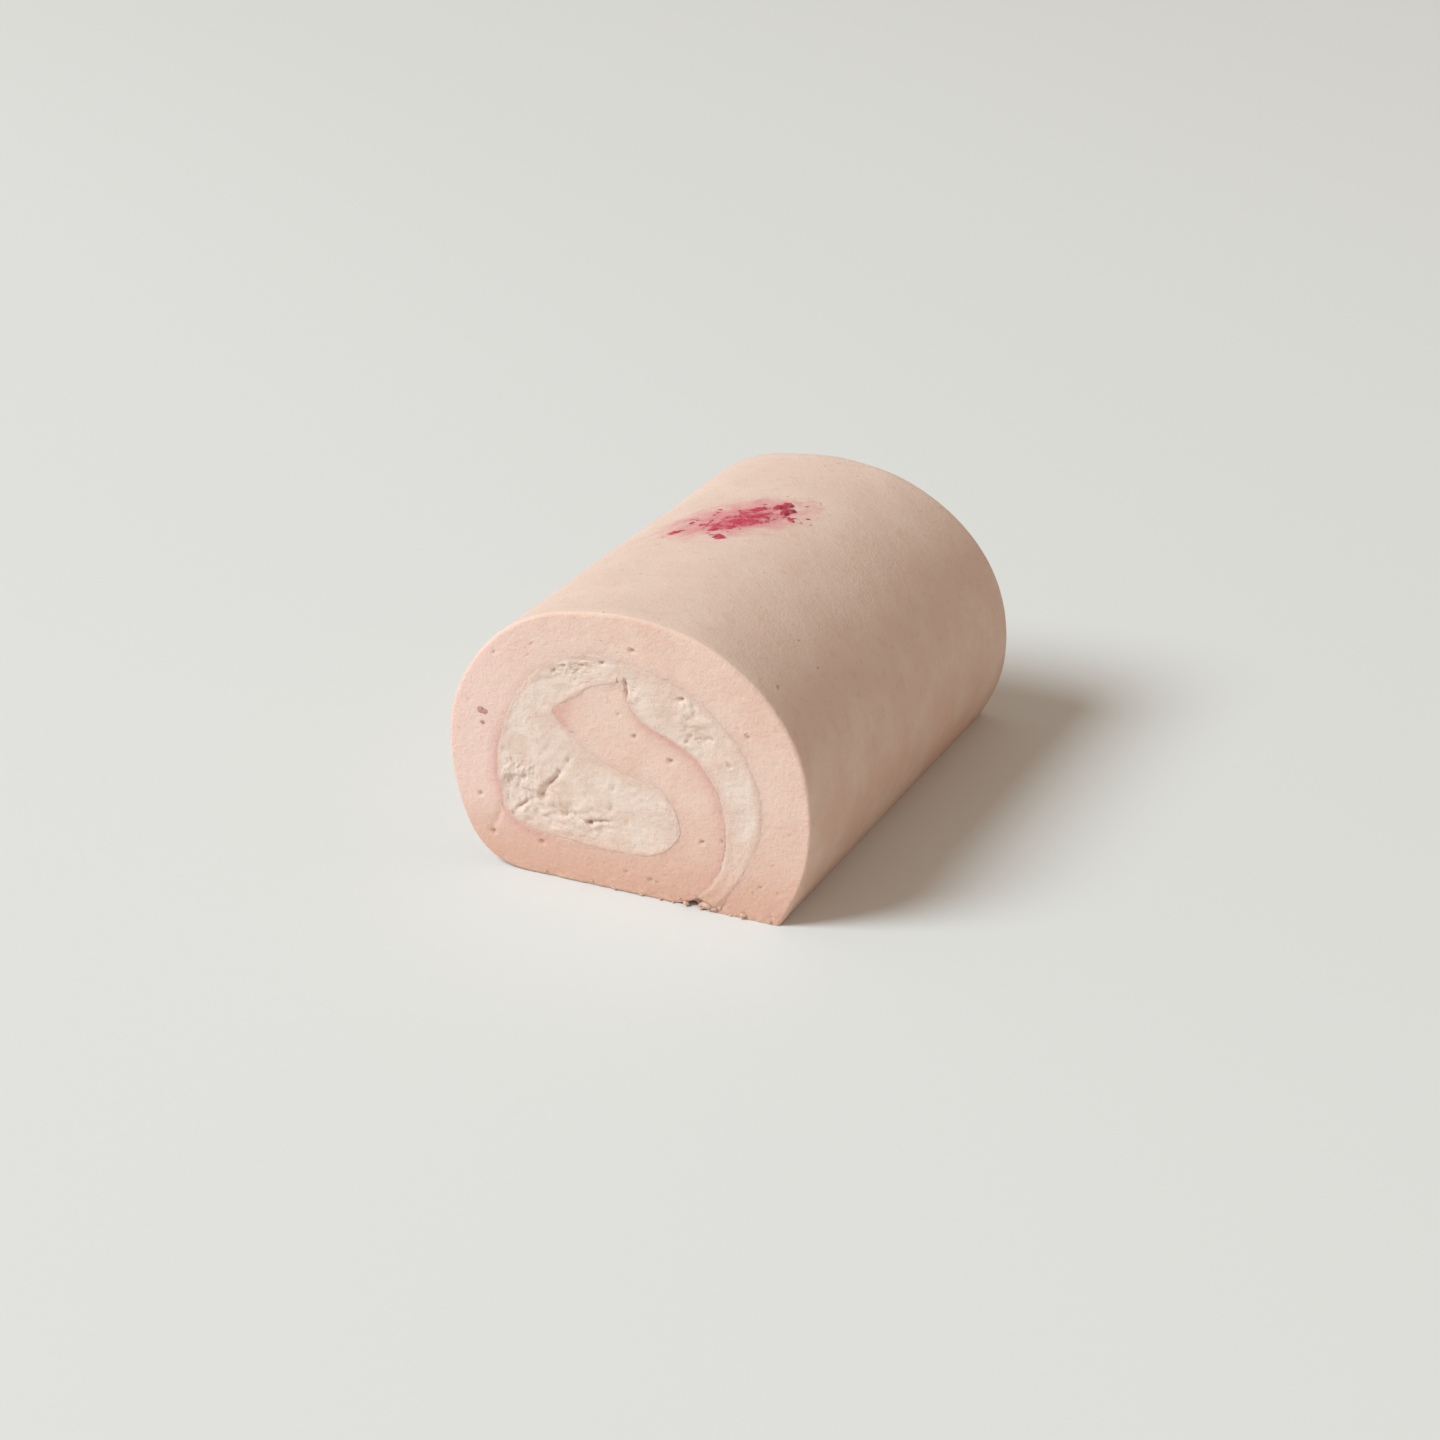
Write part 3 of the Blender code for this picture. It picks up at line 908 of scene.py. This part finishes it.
creamFilling = makeCreamFilling()
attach(creamFilling, "root")
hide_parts("cream")
print("cream filling made:", len(creamFilling.data.polygons), "faces")


# A point of the skin above each x, y: its place and the way the skin faces. The sheet is the roll's
# upper side between the two distances.
def skinPoint(x, y, upperSide=(0.165, 0.26)):
    top = (walked > upperSide[0]) & (walked < upperSide[1])
    at = np.interp(x, outerWall[top, 0], walked[top])
    section = wallPoint(outerWall, at)
    outwards = unit(section - wallPoint(innerWall, at))
    section = section + outwards * skinSwell(section, y)[..., None]
    place = np.stack((section[..., 0], y, section[..., 1]), axis=-1)
    return place, np.stack((outwards[..., 0], np.zeros(x.shape), outwards[..., 1]), axis=-1)


# How far a point lies out from an ellipse's middle, 1 on the ellipse.
def ellipseReach(points, x, y, turn, long, wide):
    a, b = turned(points[..., 0] - x, points[..., 1] - y, -turn)
    return np.hypot(a / long, b / wide)


# Crushed berry on the skin: a slab whose top stands out of the skin where the ellipses' falloff and
# streaked noise leave a height above zero, and lies under it elsewhere. Worked out in mm.
def makeBerrySmear():
    long, wide = smear["stain"]
    u = np.linspace(-1.0, 1.15, smear["rows"])[:, None] * long
    v = np.linspace(-1.1, 1.0, smear["cells"])[None] * wide
    local = np.stack(np.broadcast_arrays(u, v), axis=-1)
    x, y = turned(u, v, smear["turn"])
    place, outwards = skinPoint((smear["centre"][0] + x) * mm, (smear["centre"][1] + y) * mm)

    # films, strewn spots and chunks, each a height over the skin
    streaks = layeredNoise(local * (0.65, 1.0), 3.0, 31, 4, 0.75)
    spots = layeredNoise(local, 1.7, 37, 3, 0.7)
    covered = -1.9 * ellipseReach(local, 0, 0, 0, long, wide) + 0.1 + 2.0 * spots
    for *ellipse, thickly in smear["films"]:
        covered = np.maximum(covered, thickly - ellipseReach(local, *ellipse) + 1.7 * streaks)
    uneven = 1 + 0.9 * layeredNoise(local, 1.1, 41, 3, 0.7)
    height = smear["film"] * np.clip(covered * 2, -1, 1.2) * uneven
    chunk = np.full(height.shape, -1.0)
    for shape in smear["chunks"]:
        reach = ellipseReach(local, *shape) + 0.75 * layeredNoise(local, 1.2, 43, 3, 0.7)
        chunk = np.maximum(chunk, smear["chunkHeight"] * np.clip(1.1 - reach**2, -1, 0.8))
    dots = strewnPores(77, smear["dots"], *smear["dotArea"], *smear["dotSizes"])
    dots = poreDepth(local, dots) - 0.12
    height = np.maximum(np.maximum(height, dots * 0.9), chunk) - 0.05
    dark = smoothStep(chunk, 0, 0.4) * (0.25 + 1.3 * spots) + smoothStep(dots, 0, 0.2) * 0.35
    dark = np.clip(dark, 0, 1)

    top = place + outwards * height[..., None] * mm
    under = place - outwards * smear["under"] * mm
    points = np.concatenate((top, under[:, ::-1]), axis=1)
    thin = 1 - smoothStep(height, 0, 0.5 * smear["film"])
    piece = ringMesh("berrySmear", points[None], (berry,))
    for name, values in (("dark", dark), ("thin", thin)):
        giveAttribute(piece, name, np.concatenate((values, values[:, ::-1]), axis=1))
    return piece


lumpGrid = (9, 12)    # points of a lump from pole to pole, and around it


# Lumps: balls on a grid of latitude and longitude, squashed, with noise on the radius, cut flat at the
# table. The poles are left out by a small angle, and a lump's number shifts it to noise of its own.
def lumps(name, material, places, radii, squash, seed, poleGap=0.12, roughness=0.65):
    tilt = np.linspace(poleGap, math.pi - poleGap, lumpGrid[0])[:, None]
    around = np.linspace(0, 2 * math.pi, lumpGrid[1], endpoint=False)
    ball = (np.sin(tilt) * np.cos(around), np.sin(tilt) * np.sin(around), np.cos(tilt))
    balls = np.stack(np.broadcast_arrays(*ball), axis=-1)[None]
    shift = np.arange(len(places))[:, None, None, None] * 9.7
    rough = 1 + roughness * layeredNoise(balls + shift, 0.8, seed, 3)
    size = np.asarray(radii)[:, None, None, None] * np.asarray(squash)
    points = np.asarray(places)[:, None, None] + balls * rough[..., None] * size
    points[..., 2] = np.maximum(points[..., 2], 0)
    return ringMesh(name, points, (material,))


berrySmear = makeBerrySmear()
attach(berrySmear, "root")
print("berry smear made:", len(berrySmear.data.polygons), "faces")

# flecks of berry in the front cut, flat on its face
specks = {
    "places": [(-41.4, 43.9), (-40.3, 43.6), (-41.0, 40.4)],    # x, z in mm
    "radii": [1.10, 0.90, 0.70],
    "behind": 0.06,           # how far their middles lie behind the cut
    "squash": (1.1, 0.24, 0.85),
}


# One lump for each fleck, at its place on the cut.
def makeSpecks():
    behind = roll["frontY"] + specks["behind"] * mm
    places = [(x * mm, behind, z * mm) for x, z in specks["places"]]
    piece = lumps("berrySpecks", soakedBerry, places, np.array(specks["radii"]) * mm, specks["squash"], 5)
    for name, value in (("dark", 0.1), ("thin", 0.2)):
        giveAttribute(piece, name, np.full(len(piece.data.vertices), value))
    return piece


berrySpecks = makeSpecks()
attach(berrySpecks, "root")

# crumbs that hang on the cut edges at the table, most of them round the seam
crumbs = {
    "seam": 20,               # how many hang by the seam
    "edge": 14,               # along the front cut's edge
    "rear": 18,               # and along the rear one's
    "size": (0.30 * mm, 0.85 * mm),
    "squash": (1.25, 0.85, 0.7),
    "seamAt": (25, 5),        # x and spread of those by the seam, in mm
    "across": (-30, 41),      # x range of the others, in mm
    "piled": 1.6 * mm,        # how high they hang
    # a few close the gap under the seam: x, depth behind the cut, z and radius in mm
    "plugs": [(21.7, 0.7, 1.0, 1.1), (22.8, 0.5, 1.5, 1.4), (24.2, 0.6, 1.1, 1.5), (25.8, 0.7, 0.8, 1.1),
              (20.2, 3.4, 1.4, 2.0)],
}


# Lumps strewn along the edges, mostly small ones by a power of a random number, then the plugs. The
# last plug lies deep under the seam and is darkened: pinker, and painted shade for the gap there.
def makeCrumbs():
    rng = np.random.default_rng(9)
    byTheSeam = rng.normal(*crumbs["seamAt"], crumbs["seam"]).clip(10, crumbs["across"][1])
    x = np.append(byTheSeam, rng.uniform(*crumbs["across"], crumbs["edge"] + crumbs["rear"])) * mm
    smallest, largest = crumbs["size"]
    radii = smallest + (largest - smallest) * rng.random(len(x)) ** 2.5
    z = radii * 0.6 + rng.random(len(x)) ** 2 * crumbs["piled"]
    behind = rng.uniform(-0.15, 0.5, len(x)) * mm
    rear = np.arange(len(x)) >= crumbs["seam"] + crumbs["edge"]
    y = np.where(rear, rearFace(z) - behind, roll["frontY"] + behind)
    plugs = np.array(crumbs["plugs"]) * mm
    places = np.vstack((np.column_stack((x, y, z)), plugs[:, :3] + (0, roll["frontY"], 0)))
    radii = np.append(radii, plugs[:, 3])
    piece = lumps("looseCrumbs", crumb, places, radii, crumbs["squash"], 15)
    # painted shade on the deep plug under the seam
    deepOnes = np.repeat(np.arange(len(places)) == len(places) - 1, math.prod(lumpGrid))
    for name, value in (("moist", 1.0), ("hollowShade", 0.6), ("creamy", 0.0)):
        giveAttribute(piece, name, deepOnes * value)
    return piece


looseCrumbs = makeCrumbs()
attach(looseCrumbs, "root")
print("specks and crumbs made")

studio = {
    "floor": (0.743, 0.763, 0.760),
    "floorReach": 6.0,
    "floorFades": (1.3, 4.0),         # between these distances it turns into the backdrop
    "world": (1.00, 0.81, 0.65),
    "worldStrength": 0.425,
    "backdrop": (0.72, 0.73, 0.70),   # what the camera sees past the floor
    "keyAt": (-3.6, -3.5, 5.0),
    "keyAim": (0, 0, 0.03),
    "keySize": 3.4,
    "keyPower": 485,
    "keyColor": (0.855, 0.947, 0.99),
    "cameraAt": (0.3092, -0.6749, 0.3566),
    "azimuth": 25.15,                 # degrees round the roll, 0 looks along +Y
    "elevation": 24.45,
    "lens": 74.23,
}


# Feeds an output with under where the factor is 0 and over where it is 1.
def mixShaders(tree, factor, under, over, output):
    either = addNode(tree, "MixShader", Fac=factor)
    tree.links.new(under.outputs[0], either.inputs[1])
    tree.links.new(over.outputs[0], either.inputs[2])
    tree.links.new(either.outputs[0], tree.nodes[output].inputs["Surface"])


# Near the roll the floor is a lit surface, and far off it glows in the backdrop's colour, for the
# camera only, so that no horizon shows.
def makeFloor():
    corners = np.array([(-1, -1, 0), (1, -1, 0), (1, 1, 0), (-1, 1, 0)]) * studio["floorReach"]
    mesh = bpy.data.meshes.new("floor")
    mesh.from_pydata(corners.tolist(), [], [(0, 1, 2, 3)])
    floor = bpy.data.objects.new("floor", mesh)
    bpy.context.scene.collection.objects.link(floor)
    material, tree, shader = startMaterial("paleFloor", 0.9, shine=0.1)
    shader.inputs["Base Color"].default_value = (*studio["floor"], 1)
    glow = addNode(tree, "Emission", Color=studio["backdrop"], Strength=1.0)
    away = addNode(tree, "VectorMath", {"operation": "LENGTH"}, Vector=objectPlace(tree)).outputs["Value"]
    seen = addNode(tree, "LightPath").outputs["Is Camera Ray"]
    far = maths(tree, "MULTIPLY", ramp(tree, away, *studio["floorFades"]), seen)
    mixShaders(tree, far, shader, glow, "Material Output")
    mesh.materials.append(material)


# A round area light that looks from its place to its aim.
def addKeyLight():
    light = bpy.data.lights.new("softKey", "AREA")
    light.shape = "DISK"
    light.size = studio["keySize"]
    light.energy = studio["keyPower"]
    light.color = studio["keyColor"]
    lamp = bpy.data.objects.new("softKey", light)
    aim = np.array(studio["keyAim"]) - np.array(studio["keyAt"])
    lamp.location = studio["keyAt"]
    lamp.rotation_euler = (math.acos(-aim[2] / np.linalg.norm(aim)), 0, math.atan2(-aim[0], aim[1]))
    bpy.context.scene.collection.objects.link(lamp)


# The world lights the scene in its own colour and shows the camera the backdrop's.
def setStudio():
    world = bpy.data.worlds.new("studio")
    bpy.context.scene.world = world
    world.use_nodes = True
    tree = world.node_tree
    light = tree.nodes["Background"]
    light.inputs["Color"].default_value = (*studio["world"], 1)
    light.inputs["Strength"].default_value = studio["worldStrength"]
    backdrop = addNode(tree, "Background", Color=studio["backdrop"])
    mixShaders(tree, addNode(tree, "LightPath").outputs["Is Camera Ray"], light, backdrop, "World Output")
    addKeyLight()
    bpy.context.scene.view_settings.view_transform = "Standard"


# The camera's axes, from its azimuth a and elevation e: right is (cos a, sin a, 0), it looks against
# back, (sin a cos e, -cos a cos e, sin e), and up is square to both.
def placeCamera():
    a, e = math.radians(studio["azimuth"]), math.radians(studio["elevation"])
    right = np.array([math.cos(a), math.sin(a), 0])
    back = np.array([math.sin(a) * math.cos(e), -math.cos(a) * math.cos(e), math.sin(e)])
    up = np.cross(back, right)
    data = bpy.data.cameras.new("camera")
    data.lens = studio["lens"]
    camera = bpy.data.objects.new("camera", data)
    axes = Matrix(np.column_stack((right, up, back)).tolist()).to_4x4()
    camera.matrix_world = Matrix.Translation(studio["cameraAt"]) @ axes
    bpy.context.scene.collection.objects.link(camera)
    bpy.context.scene.camera = camera


makeFloor()
setStudio()
placeCamera()
print("floor, light and camera placed")
